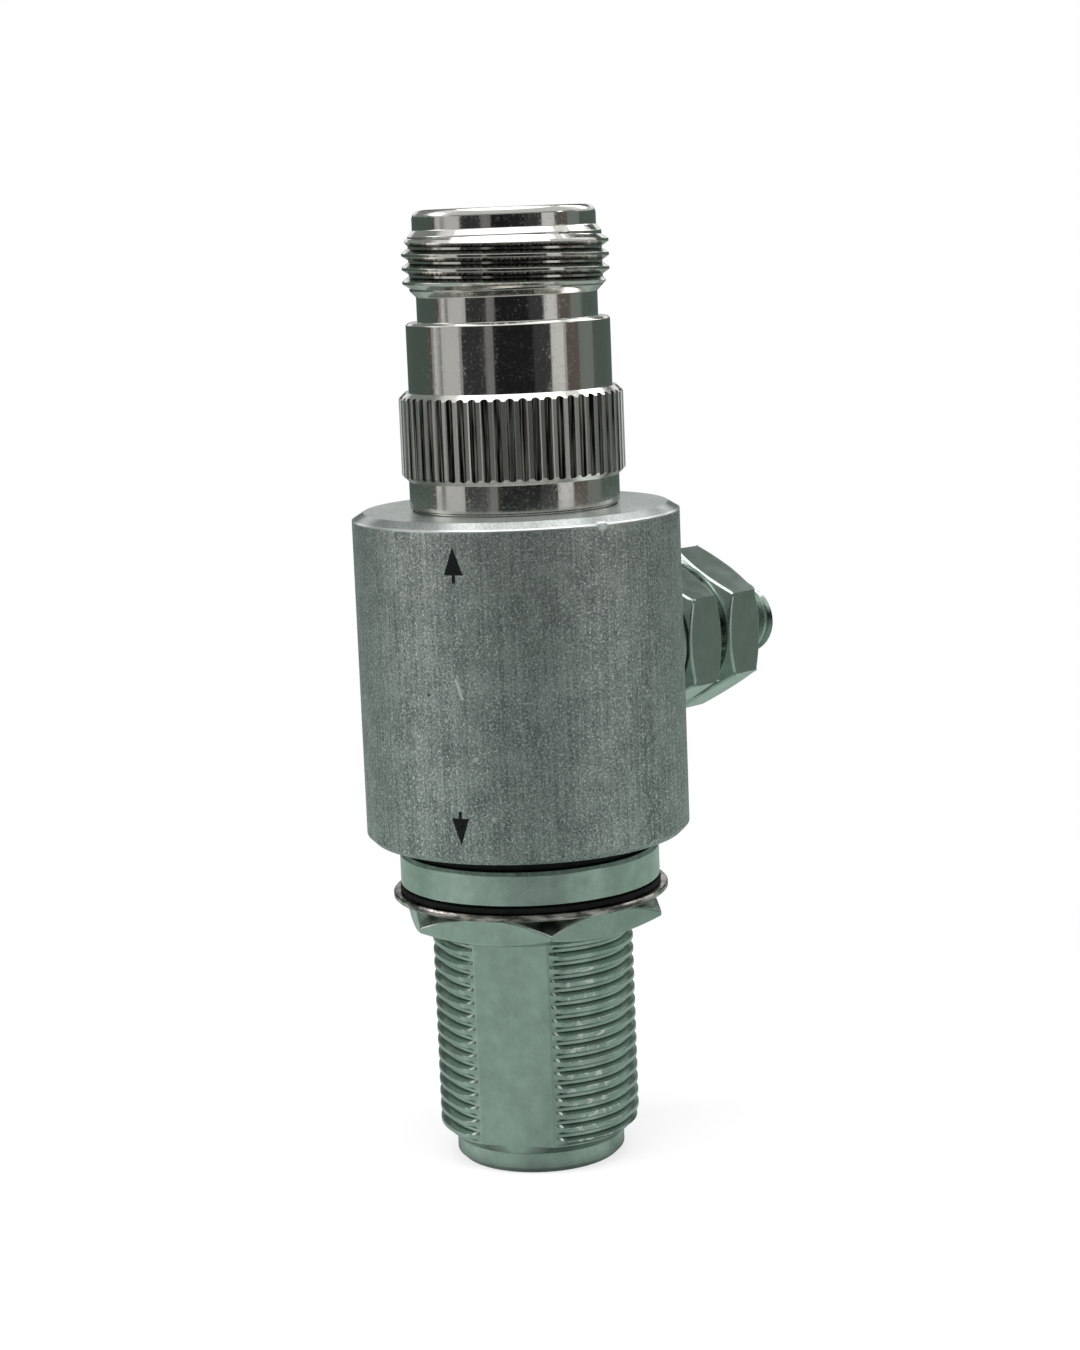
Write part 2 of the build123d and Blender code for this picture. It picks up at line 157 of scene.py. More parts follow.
def add(tree, kind, sockets=(), stops=(), **settings):
    """Adds a node with its settings and links. A socket takes a value, an output, a node for
    the output in use, or a list of these. Sockets that share a name go by number: a map
    range's limits are 1 and 2, and 3 and 4 for its result, and a mix's sides are 2 and 3 for
    values and 6 and 7 for colours. Stops are a ramp's positions and hex colours."""
    node = tree.nodes.new(kind)
    for name, value in settings.items():
        setattr(node, name, value)
    for _ in stops[2:]:
        node.color_ramp.elements.new(0.5)
    for index, (position, code) in enumerate(stops):
        node.color_ramp.elements[index].position = min(max(position, 0), 1)
        node.color_ramp.elements[index].color = colour(code)
    for name, value in dict(sockets).items():
        for source in value if isinstance(value, list) else [value]:
            if isinstance(source, bpy.types.Node):
                source = next(output for output in source.outputs if output.enabled)
            if isinstance(source, bpy.types.NodeSocket):
                tree.links.new(source, node.inputs[name])
            else:
                node.inputs[name].default_value = source
    return node


def started(name):
    """A material, its cleared tree, and the tree's output for a place on the object."""
    material = bpy.data.materials.new(name)
    tree = emptied(material)
    return material, tree, add(tree, "ShaderNodeTexCoord").outputs["Object"]


# Blasted aluminium: dull grey with clouds a millimetre or two across, streaks along the bar
# two tenths wide where the drawn skin shows through, and scattered bright grains 0.15 mm
# across. The top and its chamfer are left as turned: bright and brushed round by the tool,
# with a painted highlight, a thin white line, along the chamfer's lower edge. A pale scratch,
# two pale rubs and a dark speck lie near the printed side.
blasted_aluminium, tree, place = started("blasted_aluminium")
pits = add(tree, "ShaderNodeTexNoise", {"Vector": place, "Scale": 6500, "Detail": 2, "Roughness": 0.6})
clouds = add(tree, "ShaderNodeTexNoise", {"Vector": place, "Scale": 420, "Detail": 5, "Roughness": 0.65})
drawn = add(tree, "ShaderNodeMapping", {"Vector": place, "Scale": (1, 1, 0.02)})
streaks = add(tree, "ShaderNodeTexNoise", {"Vector": drawn, "Scale": 4200, "Detail": 3})
worn = 0.0
for marking, low, high, share in (
    (pits, 0.35, 0.65, 0.5), (clouds, 0.33, 0.67, 0.28), (streaks, 0.36, 0.66, 0.22),
):
    spread = add(tree, "ShaderNodeMapRange", {"Value": marking, 1: low, 2: high})
    worn = add(tree, "ShaderNodeMath", {0: spread, 1: share, 2: worn}, operation="MULTIPLY_ADD")
skin = add(tree, "ShaderNodeValToRGB", {"Fac": worn}, ((0.2, "#878d8b"), (0.8, "#d3d7d5")))
grains = add(tree, "ShaderNodeMapRange", {"Value": pits, 1: 0.6, 2: 0.7, 3: 0.0, 4: 1.0})
skin = add(tree, "ShaderNodeMix", {"Factor": grains, 6: skin, 7: colour("#ffffff")}, data_type="RGBA")
scratch_top, scratch_foot = Vector((-0.01196, -0.00428, 0.04013)), Vector((-0.01181, -0.00467, 0.03879))
marks = [(scratch_top.lerp(scratch_foot, step / 6), 0.00013, "#ffffff") for step in range(7)]
marks += [
    (Vector((-0.01145, -0.00549, 0.03421)), 0.0002, "#f0f2f1"),
    (Vector((-0.01089, -0.00653, 0.02967)), 0.0002, "#f0f2f1"),
    (Vector((-0.01254, -0.00199, 0.03897)), 0.00014, "#161817"),
]
for spot, reach, tone in marks:
    away = add(tree, "ShaderNodeVectorMath", {0: place, 1: spot}, operation="DISTANCE")
    mark = add(tree, "ShaderNodeMapRange", {"Value": away, 1: reach * 0.5, 2: reach * 1.4, 3: 0.85, 4: 0.0})
    skin = add(tree, "ShaderNodeMix", {"Factor": mark, 6: skin, 7: colour(tone)}, data_type="RGBA")
height = add(tree, "ShaderNodeSeparateXYZ", {0: place}).outputs["Z"]
turned_top = add(tree, "ShaderNodeMapRange", {"Value": height, 1: 0.05108, 2: 0.05118})
turned_face_tone = add(tree, "ShaderNodeMix", {
    "Factor": worn, 6: colour("#a0a7a4"), 7: colour("#dfe4e1"),
}, data_type="RGBA")
# Painted highlight: a thin white band along the chamfer's lower edge.
rim_highlight = add(tree, "ShaderNodeMapRange", {"Value": height, 1: 0.05126, 2: 0.05134, 3: 1.0, 4: 0.0})
turned_face_tone = add(tree, "ShaderNodeMix", {
    "Factor": rim_highlight, 6: turned_face_tone, 7: colour("#ffffff"),
}, data_type="RGBA")
skin = add(tree, "ShaderNodeMix", {"Factor": turned_top, 6: skin, 7: turned_face_tone}, data_type="RGBA")
knocked_spot = (-0.00384, -0.0121, 0.0512)
away = add(tree, "ShaderNodeVectorMath", {0: place, 1: knocked_spot}, operation="DISTANCE")
knock = add(tree, "ShaderNodeMapRange", {"Value": away, 1: 0.0003, 2: 0.00055, 3: 0.9, 4: 0.0})
skin = add(tree, "ShaderNodeMix", {"Factor": knock, 6: skin, 7: colour("#ffffff")}, data_type="RGBA")
dull = add(tree, "ShaderNodeMapRange", {"Value": worn, 1: 0.2, 2: 0.8, 3: 0.52, 4: 0.4})
dull = add(tree, "ShaderNodeMix", {"Factor": turned_top, 2: dull, 3: 0.3})
brushed = add(tree, "ShaderNodeMath", {0: turned_top, 1: 0.85}, operation="MULTIPLY")
round_axis = add(tree, "ShaderNodeTangent", direction_type="RADIAL", axis="Z")
rough = add(tree, "ShaderNodeMapRange", {"Value": turned_top, 3: 0.5, 4: 0.04})
grain = add(tree, "ShaderNodeBump", {"Height": worn, "Strength": rough, "Distance": 0.00005})
metal = add(tree, "ShaderNodeBsdfPrincipled", {
    "Base Color": skin, "Roughness": dull, "Normal": grain, "Metallic": 1,
    "Anisotropic": brushed, "Anisotropic Rotation": 0.25, "Tangent": round_axis,
})
add(tree, "ShaderNodeOutputMaterial", {"Surface": metal})

housing = turned("housing_shell", housing_outline, segments=384)
machined(housing, "DIFFERENCE", turned("port_cutter", port_outline, segments=128, place=along_port))
eased(housing, 0.07)
burr_angle, burr_centre, burr_radii = -107.6, (12.6, 0, 51.15), (0.2, 0.5, 0.3)
burr_place = Matrix.Rotation(math.radians(burr_angle), 4, "Z") @ Matrix.Translation(burr_centre)
bm = bmesh.new()
bmesh.ops.create_icosphere(
    bm, subdivisions=3, radius=1, matrix=burr_place @ Matrix.Diagonal((*burr_radii, 1)),
)
machined(housing, "UNION", made(bm, "burr"))
fitted(housing, "housing", "body", blasted_aluminium)


# Direction marks: two plain arrows printed in black on the housing, one towards each jack.
# The ink is a pad print a hundredth of a millimetre thick.
print_angle = math.radians(-160.5)
print_radius = 12.712


def printed_arrow(bm, head, stem):
    """Wraps an arrow on the housing: its head is a triangle and its stem a rectangle, both of
    (distance round the housing, height) corners."""
    cells = 8
    for shape in (head, stem):
        low, high = min(v for _, v in shape), max(v for _, v in shape)
        rows = []
        for row in range(cells + 1):
            height = low + (high - low) * row / cells
            across = []
            for (u0, v0), (u1, v1) in zip(shape, shape[1:] + shape[:1]):
                if abs(v1 - v0) > 1e-6 and min(v0, v1) - 1e-6 <= height <= max(v0, v1) + 1e-6:
                    across.append(u0 + (u1 - u0) * (height - v0) / (v1 - v0))
            ends = (min(across), max(across))
            line = []
            for column in range(cells + 1):
                angle = print_angle + (ends[0] + (ends[1] - ends[0]) * column / cells) / print_radius
                line.append(bm.verts.new((
                    print_radius * math.cos(angle), print_radius * math.sin(angle), height,
                )))
            rows.append(line)
        for low_row, high_row in zip(rows, rows[1:]):
            for column in range(cells):
                bm.faces.new((low_row[column], low_row[column + 1], high_row[column + 1], high_row[column]))


up_head = ((-0.56, 48.0), (0.96, 48.0), (0.2, 50.1))
up_stem = ((0.07, 47.4), (0.33, 47.4), (0.33, 48.0), (0.07, 48.0))
down_head = ((0.6, 29.7), (-0.8, 29.7), (-0.1, 27.66))
down_stem = ((-0.23, 29.7), (0.03, 29.7), (0.03, 30.22), (-0.23, 30.22))
bm = bmesh.new()
printed_arrow(bm, up_head, up_stem)
printed_arrow(bm, down_head, down_stem)
bmesh.ops.remove_doubles(bm, verts=bm.verts, dist=0.0005)
arrows = made(bm, "printed_arrows")
arrows.data.transform(millimetres)

# Pad-printing ink: black, half matt, and thin enough to let a little of the metal's grain
# mottle it.
printing_ink, tree, place = started("printing_ink")
thin = add(tree, "ShaderNodeTexNoise", {"Vector": place, "Scale": 5000, "Detail": 2})
ink = add(tree, "ShaderNodeValToRGB", {"Fac": thin}, ((0.4, "#050606"), (0.75, "#141718")))
black = add(tree, "ShaderNodeBsdfPrincipled", {
    "Base Color": ink, "Roughness": 0.6, "Specular IOR Level": 0.2,
})
add(tree, "ShaderNodeOutputMaterial", {"Surface": black})
arrows.data.materials.append(printing_ink)
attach(arrows, "body")


# Lower jack: one brass turning with a pilot lip, a bulkhead thread with a flat milled along
# it, a flange and a spigot pressed up into the housing, all plated in satin nickel.
jack_outline = (
    (6.225, 0), (6.675, 0.45), (6.675, 1.7), (7.42, 2.349), (7.42, 22.1), (7.42, 22.2),
    (9.9775, 22.2), (10.2275, 22.45), (10.2275, 24.75), (9.9775, 25), (8.6, 25), (8.6, 34.4),
    (4.6, 34.4), (4.6, 11.1), (3.5, 11.1), (3.5, 9.1), (4.19, 9.1), (4.19, 0.35), (4.54, 0),
)
jack_thread = {"Crest Radius": 7.9375, "Root Radius": 7.42, "Pitch": 25.4 / 24}


def compass_point(degrees):
    """The level direction at this angle from +X."""
    return Vector((math.cos(math.radians(degrees)), math.sin(math.radians(degrees)), 0))


def sized_tree(name, inputs):
    """A geometry tree that makes one part, and the outputs that bring in its named sizes."""
    tree = bpy.data.node_groups.new(name, "GeometryNodeTree")
    for title, kind in inputs:
        tree.interface.new_socket(title, in_out="INPUT", socket_type="NodeSocket" + kind)
    tree.interface.new_socket("Part", in_out="OUTPUT", socket_type="NodeSocketGeometry")
    return tree, add(tree, "NodeGroupInput").outputs


def joined(tree, pieces, material):
    """Joins the pieces as the part that the tree makes."""
    part = add(tree, "GeometryNodeJoinGeometry", {0: pieces})
    part = add(tree, "GeometryNodeRealizeInstances", {0: part})
    part = add(tree, "GeometryNodeSetMaterial", {"Geometry": part, "Material": material})
    add(tree, "NodeGroupOutput", {0: part})


# The thread's tree winds a ridge round a blank of the thread's root radius, trims it to the
# cones at both ends, and mills blank and ridge down to a flat. It stores how far down the
# groove a point lies, for the painted shade there.
thread_tree, size = sized_tree("cut_thread", (
    ("Blank", "Geometry"), ("Crest Radius", "Float"), ("Root Radius", "Float"), ("Pitch", "Float"),
    ("Crest Width", "Float"), ("Root Width", "Float"), ("Rounding", "Float"),
    ("Low", "Float"), ("Low Slope", "Float"), ("High", "Float"), ("High Slope", "Float"),
    ("Flat Distance", "Float"), ("Flat Facing", "Vector"), ("Flat Top", "Float"),
    ("Material", "Material"),
))
tree = thread_tree

# The ridge's foot lies this deep in the blank, its ends run out this far under the blank's
# skin, and they stay this far from the thread's two ends, in mm.
overlap, sink, end_room = 0.1, 0.012, 0.05
start = add(tree, "ShaderNodeMath", {0: size["Low"], 1: size["Pitch"]}, operation="SUBTRACT")
stop = add(tree, "ShaderNodeMath", {0: size["High"], 1: size["Pitch"]}, operation="ADD")
rise = add(tree, "ShaderNodeMath", {0: stop, 1: start}, operation="SUBTRACT")
turns = add(tree, "ShaderNodeMath", {0: rise, 1: size["Pitch"]}, operation="DIVIDE")
helix = add(tree, "GeometryNodeCurveSpiral", {
    "Resolution": 128, "Rotations": turns, "Start Radius": size["Root Radius"],
    "End Radius": size["Root Radius"], "Height": rise,
})
lift = add(tree, "ShaderNodeCombineXYZ", {"Z": start})
helix = add(tree, "GeometryNodeTransform", {"Geometry": helix, "Translation": lift})
helix = add(tree, "GeometryNodeSetCurveNormal", {"Curve": helix}, mode="Z_UP")
depth = add(tree, "ShaderNodeMath", {0: size["Crest Radius"], 1: size["Root Radius"]}, operation="SUBTRACT")
tall = add(tree, "ShaderNodeMath", {0: depth, 1: overlap}, operation="ADD")
form = add(tree, "GeometryNodeCurvePrimitiveQuadrilateral", {
    "Height": tall, "Bottom Width": size["Root Width"], "Top Width": size["Crest Width"], "Offset": 0,
}, mode="TRAPEZOID")
middle = add(tree, "ShaderNodeMath", {0: tall, 1: -0.5, 2: overlap}, operation="MULTIPLY_ADD")
middle = add(tree, "ShaderNodeCombineXYZ", {"X": middle})
form = add(tree, "GeometryNodeTransform", {
    "Geometry": form, "Translation": middle, "Rotation": (0, 0, math.pi / 2),
})
form = add(tree, "GeometryNodeFilletCurve", {
    "Curve": form, "Radius": size["Rounding"], "Limit Radius": True, "Count": 3,
}, mode="POLY")
ridge = add(tree, "GeometryNodeCurveToMesh", {"Curve": helix, "Profile Curve": form, "Fill Caps": True})
spot = add(tree, "GeometryNodeInputPosition")
height = add(tree, "ShaderNodeSeparateXYZ", {0: spot}).outputs["Z"]
outward = add(tree, "ShaderNodeVectorMath", {0: spot, 1: (1, 1, 0)}, operation="MULTIPLY")
radius = add(tree, "ShaderNodeVectorMath", {0: outward}, operation="LENGTH")
above = add(tree, "ShaderNodeMath", {0: height, 1: size["Low"]}, operation="SUBTRACT")
below = add(tree, "ShaderNodeMath", {0: size["High"], 1: height}, operation="SUBTRACT")
buried = add(tree, "ShaderNodeMath", {0: size["Root Radius"], 1: sink}, operation="SUBTRACT")
room = None
for away, slope in ((above, size["Low Slope"]), (below, size["High Slope"])):
    cone = add(tree, "ShaderNodeMath", {0: away, 1: slope, 2: buried}, operation="MULTIPLY_ADD")
    room = add(tree, "ShaderNodeMath", {0: room, 1: cone}, operation="MINIMUM") if room else cone
share = add(tree, "ShaderNodeMath", {0: room, 1: radius}, operation="DIVIDE")
share = add(tree, "ShaderNodeMath", {0: share, 1: 1}, operation="MINIMUM")
trimmed = add(tree, "ShaderNodeVectorMath", {0: outward, "Scale": share}, operation="SCALE")
first = add(tree, "ShaderNodeMath", {0: size["Low"], 1: end_room}, operation="ADD")
last = add(tree, "ShaderNodeMath", {0: size["High"], 1: end_room}, operation="SUBTRACT")
level = add(tree, "ShaderNodeMath", {0: height, 1: first}, operation="MAXIMUM")
level = add(tree, "ShaderNodeMath", {0: level, 1: last}, operation="MINIMUM")
upright = add(tree, "ShaderNodeCombineXYZ", {"Z": level})
trimmed = add(tree, "ShaderNodeVectorMath", {0: trimmed, 1: upright}, operation="ADD")
ridge = add(tree, "GeometryNodeSetPosition", {"Geometry": ridge, "Position": trimmed})
facing = add(tree, "ShaderNodeVectorMath", {0: spot, 1: size["Flat Facing"]}, operation="DOT_PRODUCT")
proud = add(tree, "ShaderNodeMath", {0: facing, 1: size["Flat Distance"]}, operation="SUBTRACT")
inside = add(tree, "ShaderNodeMath", {0: size["Crest Radius"], 1: radius}, operation="SUBTRACT")
inside = add(tree, "ShaderNodeMath", {0: inside, 1: depth}, operation="DIVIDE", use_clamp=True)
middle = add(tree, "ShaderNodeMath", {0: size["Low"], 1: size["High"]}, operation="ADD")
middle = add(tree, "ShaderNodeMath", {0: middle, 1: 0.5}, operation="MULTIPLY")
half = add(tree, "ShaderNodeMath", {0: size["High"], 1: middle}, operation="SUBTRACT")
half = add(tree, "ShaderNodeMath", {0: half, 1: 0.4}, operation="SUBTRACT")
level = add(tree, "ShaderNodeMath", {0: height, 1: middle, 2: half}, operation="COMPARE")
outside = add(tree, "ShaderNodeMath", {0: size["Root Radius"], 1: 0.05}, operation="SUBTRACT")
outside = add(tree, "ShaderNodeMath", {0: radius, 1: outside}, operation="GREATER_THAN")
uncut = add(tree, "ShaderNodeMath", {0: proud, 1: -0.05}, operation="LESS_THAN")
for limit in (level, outside, uncut):
    inside = add(tree, "ShaderNodeMath", {0: inside, 1: limit}, operation="MULTIPLY")
milled = []
for work, sunk in ((size["Blank"], 0.0), (ridge, 0.02)):
    cut = add(tree, "ShaderNodeMath", {0: proud, 1: sunk}, operation="ADD")
    cut = add(tree, "ShaderNodeMath", {0: cut, 1: 0}, operation="MAXIMUM")
    cut = add(tree, "ShaderNodeMath", {0: cut, 1: -1}, operation="MULTIPLY")
    cut = add(tree, "ShaderNodeVectorMath", {0: size["Flat Facing"], "Scale": cut}, operation="SCALE")
    low = add(tree, "ShaderNodeMath", {0: height, 1: size["Flat Top"]}, operation="LESS_THAN")
    work = add(tree, "GeometryNodeSetPosition", {"Geometry": work, "Selection": low, "Offset": cut})
    work = add(tree, "GeometryNodeStoreNamedAttribute", {
        "Geometry": work, "Name": "groove", "Value": inside,
    }, data_type="FLOAT", domain="POINT")
    milled.append(work)
joined(tree, milled, size["Material"])


def grown(obj, tree, sizes):
    """Runs a tree on the object with these sizes and keeps what it makes."""
    modifier = obj.modifiers.new(tree.name, "NODES")
    modifier.node_group = tree
    for item in tree.interface.items_tree:
        if item.item_type == "SOCKET" and item.in_out == "INPUT" and item.name in sizes:
            modifier[item.identifier] = sizes[item.name]
    settled(obj)


# Satin nickel: a plate over brass with a slightly frosted, green-grey sheen, mottled over a
# millimetre or so where the bath left it uneven. Down in the threads' grooves it is painted
# darker as painted shade, and the lower thread's crests carry small painted white glints on one side.
satin_nickel, tree, place = started("satin_nickel")
bath = add(tree, "ShaderNodeTexNoise", {"Vector": place, "Scale": 700, "Detail": 5, "Roughness": 0.65})
frost = add(tree, "ShaderNodeTexNoise", {"Vector": place, "Scale": 5200, "Detail": 2})
plate = add(tree, "ShaderNodeValToRGB", {"Fac": bath}, ((0.3, "#aab8b0"), (0.7, "#bfcdc5")))
groove = add(tree, "ShaderNodeAttribute", attribute_name="groove").outputs["Fac"]
# Painted shade: the plate is darkened down in the threads' grooves.
painted_groove_shade = add(tree, "ShaderNodeMapRange", {"Value": groove, 1: 0.45, 2: 0.85, 3: 0.0, 4: 0.75})
plate = add(tree, "ShaderNodeMix", {"Factor": painted_groove_shade, 6: plate, 7: colour("#707a74")}, data_type="RGBA")
# Painted glints: small white patches, rougher than the plate, on the lower thread's crests on one side.
glint_side = -108
towards = compass_point(glint_side)
glint_facing = add(tree, "ShaderNodeVectorMath", {0: place, 1: towards}, operation="DOT_PRODUCT")
glint_facing = add(tree, "ShaderNodeMapRange", {"Value": glint_facing, 1: 0.0076, 2: 0.0078})
height = add(tree, "ShaderNodeSeparateXYZ", {0: place}).outputs["Z"]
level = add(tree, "ShaderNodeMath", {0: height, 1: 0.0095, 2: 0.007}, operation="COMPARE")
glint_specks = add(tree, "ShaderNodeTexNoise", {"Vector": place, "Scale": 1500, "Detail": 1})
glint_specks = add(tree, "ShaderNodeMapRange", {"Value": glint_specks, 1: 0.55, 2: 0.63})
crest = add(tree, "ShaderNodeMapRange", {"Value": groove, 1: 0.1, 2: 0.3, 3: 1.0, 4: 0.0})
painted_glints = glint_facing
for limit in (level, glint_specks, crest):
    painted_glints = add(tree, "ShaderNodeMath", {0: painted_glints, 1: limit}, operation="MULTIPLY")
plate = add(tree, "ShaderNodeMix", {"Factor": painted_glints, 6: plate, 7: colour("#ffffff")}, data_type="RGBA")
dull = add(tree, "ShaderNodeMapRange", {"Value": bath, 1: 0.3, 2: 0.7, 3: 0.24, 4: 0.16})
dull = add(tree, "ShaderNodeMix", {"Factor": painted_glints, 2: dull, 3: 0.6})
grain = add(tree, "ShaderNodeBump", {"Height": frost, "Strength": 0.35, "Distance": 0.00002})
metal = add(tree, "ShaderNodeBsdfPrincipled", {
    "Base Color": plate, "Roughness": dull, "Normal": grain, "Metallic": 1,
})
add(tree, "ShaderNodeOutputMaterial", {"Surface": metal})

flat_facing = compass_point(-153)
lower_jack = turned("lower_jack", jack_outline, segments=320)
eased(lower_jack, 0.05)
grown(lower_jack, thread_tree, {
    **jack_thread, "Crest Width": 0.3, "Root Width": 0.98, "Rounding": 0.1,
    "Low": 2.349, "Low Slope": 1.2625 / 1.1, "High": 21.9, "High Slope": 1.0,
    "Flat Distance": 6.7675, "Flat Facing": flat_facing, "Flat Top": 22.15,
    "Material": satin_nickel,
})
fitted(lower_jack, "antenna_shell", "body", satin_nickel)


# Upper jack: one brass turning with a spigot, a plinth, a straight-knurled grip, a barrel,
# a neck, the coupling thread and a lip, polished and plated in bright nickel.
jack_outline = (
    (7.2, 44.4), (7.2, 51.76), (7.9, 51.76), (7.9, 51.9), (8.135, 51.98), (8.135, 54.3), (7.85, 54.3),
    (7.85, 65.95), (7.65, 66.15), (6.95, 66.15), (6.95, 68.05), (7.42, 68.526), (7.42, 72.602),
    (7.035, 73.05), (7.035, 74.0), (6.93, 74.27), (6.74, 74.48), (6.485, 74.6), (4.54, 74.6),
    (4.19, 74.25), (4.19, 65.5), (3.5, 65.5), (3.5, 63.5), (4.6, 63.5), (4.6, 44.4),
)
no_flat = {"Flat Distance": 50.0, "Flat Facing": flat_facing, "Flat Top": 0.0}

# The grip's tree wraps a grid into a ring, presses a round-bottomed flute into it at every
# step, turns both ends to 45 degrees, and closes the ring on an inner wall in the metal. It
# stores how far a face is sunk, for the painted shade in the flutes and the painted highlight
# at their edges.
grip_tree, size = sized_tree("knurled_grip", (
    ("Blank", "Geometry"), ("Flutes", "Int"), ("Steps", "Int"), ("Radius", "Float"), ("Depth", "Float"),
    ("Flute Radius", "Float"), ("Chamfer", "Float"), ("Low", "Float"), ("High", "Float"),
    ("Inner Radius", "Float"), ("Material", "Material"),
))
tree = grip_tree

# Up the grid, a row is one unit. Rows 0 to 1 run out from the inner wall, 1 to 4 and 6 to 9
# climb the sloped ends, 4 to 6 the straight flutes between them, 9 to 10 run back in, and
# the last one closes the inner wall.
columns = add(tree, "ShaderNodeMath", {0: size["Flutes"], 1: size["Steps"], 2: 1}, operation="MULTIPLY_ADD")
rows = 11
grid = add(tree, "GeometryNodeMeshGrid", {
    "Size X": 1, "Size Y": rows, "Vertices X": columns, "Vertices Y": rows + 1,
})
spot = add(tree, "GeometryNodeInputPosition")
spot = add(tree, "ShaderNodeVectorMath", {0: spot, 1: (0.5, rows / 2, 0)}, operation="ADD")
spot = add(tree, "ShaderNodeSeparateXYZ", {0: spot}).outputs
angle = add(tree, "ShaderNodeMath", {0: spot["X"], 1: 2 * math.pi}, operation="MULTIPLY")
flute = add(tree, "ShaderNodeMath", {0: spot["X"], 1: size["Flutes"]}, operation="MULTIPLY")
flute = add(tree, "ShaderNodeMath", {0: flute}, operation="FRACT")
flute = add(tree, "ShaderNodeMath", {0: flute, 1: 0.5}, operation="SUBTRACT")
pitch = add(tree, "ShaderNodeMath", {0: size["Radius"], 1: size["Flutes"]}, operation="DIVIDE")
across = add(tree, "ShaderNodeMath", {0: pitch, 1: flute}, operation="MULTIPLY")
across = add(tree, "ShaderNodeMath", {0: across, 1: 2 * math.pi}, operation="MULTIPLY")
across = add(tree, "ShaderNodeMath", {0: across, 1: 2}, operation="POWER")
square = add(tree, "ShaderNodeMath", {0: size["Flute Radius"], 1: 2}, operation="POWER")
arc = add(tree, "ShaderNodeMath", {0: square, 1: across}, operation="SUBTRACT")
arc = add(tree, "ShaderNodeMath", {0: arc, 1: 0}, operation="MAXIMUM")
arc = add(tree, "ShaderNodeMath", {0: arc}, operation="SQRT")
arc = add(tree, "ShaderNodeMath", {0: size["Flute Radius"], 1: arc}, operation="SUBTRACT")
bottom = add(tree, "ShaderNodeMath", {0: size["Radius"], 1: size["Depth"]}, operation="SUBTRACT")
groove = add(tree, "ShaderNodeMath", {0: bottom, 1: arc}, operation="ADD")
groove = add(tree, "ShaderNodeMath", {0: groove, 1: size["Radius"]}, operation="MINIMUM")
tall = add(tree, "ShaderNodeMath", {0: size["High"], 1: size["Low"]}, operation="SUBTRACT")
edge = add(tree, "ShaderNodeMath", {0: size["Radius"], 1: size["Chamfer"]}, operation="SUBTRACT")
sloped = add(tree, "ShaderNodeMath", {0: groove, 1: edge}, operation="SUBTRACT")
plain = add(tree, "ShaderNodeMath", {0: sloped, 1: -2, 2: tall}, operation="MULTIPLY_ADD")
height = size["Low"]
for first, last, span in ((1, 4, sloped), (4, 6, plain), (6, 9, sloped)):
    climb = add(tree, "ShaderNodeMapRange", {"Value": spot["Y"], 1: first, 2: last, 3: 0, 4: span})
    height = add(tree, "ShaderNodeMath", {0: height, 1: climb}, operation="ADD")
back = add(tree, "ShaderNodeMapRange", {"Value": spot["Y"], 1: rows - 1, 2: rows, 3: 0, 4: tall})
above = add(tree, "ShaderNodeMath", {0: height, 1: size["Low"]}, operation="SUBTRACT")
below = add(tree, "ShaderNodeMath", {0: size["High"], 1: height}, operation="SUBTRACT")
near = add(tree, "ShaderNodeMath", {0: above, 1: below}, operation="MINIMUM")
edge = add(tree, "ShaderNodeMath", {0: edge, 1: near}, operation="ADD")
radius = add(tree, "ShaderNodeMath", {0: groove, 1: edge}, operation="MINIMUM")
for outer, inner in ((1, 0), (9, 10)):
    wall = add(tree, "ShaderNodeMapRange", {
        "Value": spot["Y"], 1: inner, 2: outer, 3: size["Inner Radius"], 4: size["Radius"],
    })
    radius = add(tree, "ShaderNodeMath", {0: radius, 1: wall}, operation="MINIMUM")
height = add(tree, "ShaderNodeMath", {0: height, 1: back}, operation="SUBTRACT")
east = add(tree, "ShaderNodeMath", {0: angle}, operation="COSINE")
north = add(tree, "ShaderNodeMath", {0: angle}, operation="SINE")
east = add(tree, "ShaderNodeMath", {0: east, 1: radius}, operation="MULTIPLY")
north = add(tree, "ShaderNodeMath", {0: north, 1: radius}, operation="MULTIPLY")
wrapped = add(tree, "ShaderNodeCombineXYZ", {"X": east, "Y": north, "Z": height})
sunk = add(tree, "ShaderNodeMath", {0: size["Radius"], 1: groove}, operation="SUBTRACT")
sunk = add(tree, "ShaderNodeMath", {0: sunk, 1: size["Depth"]}, operation="DIVIDE")
sunk = add(tree, "ShaderNodeMath", {0: sunk, 1: 0.7, 2: 0.3}, operation="MULTIPLY_ADD")
middle = add(tree, "ShaderNodeMath", {0: spot["Y"], 1: 5, 2: 1.2}, operation="COMPARE")
sunk = add(tree, "ShaderNodeMath", {0: sunk, 1: middle}, operation="MULTIPLY")
grip = add(tree, "GeometryNodeStoreNamedAttribute", {
    "Geometry": grid, "Name": "sunk", "Value": sunk,
}, data_type="FLOAT", domain="FACE")
grip = add(tree, "GeometryNodeSetPosition", {"Geometry": grip, "Position": wrapped})
grip = add(tree, "GeometryNodeMergeByDistance", {"Geometry": grip, "Distance": 0.0005})
joined(tree, [size["Blank"], grip], size["Material"])

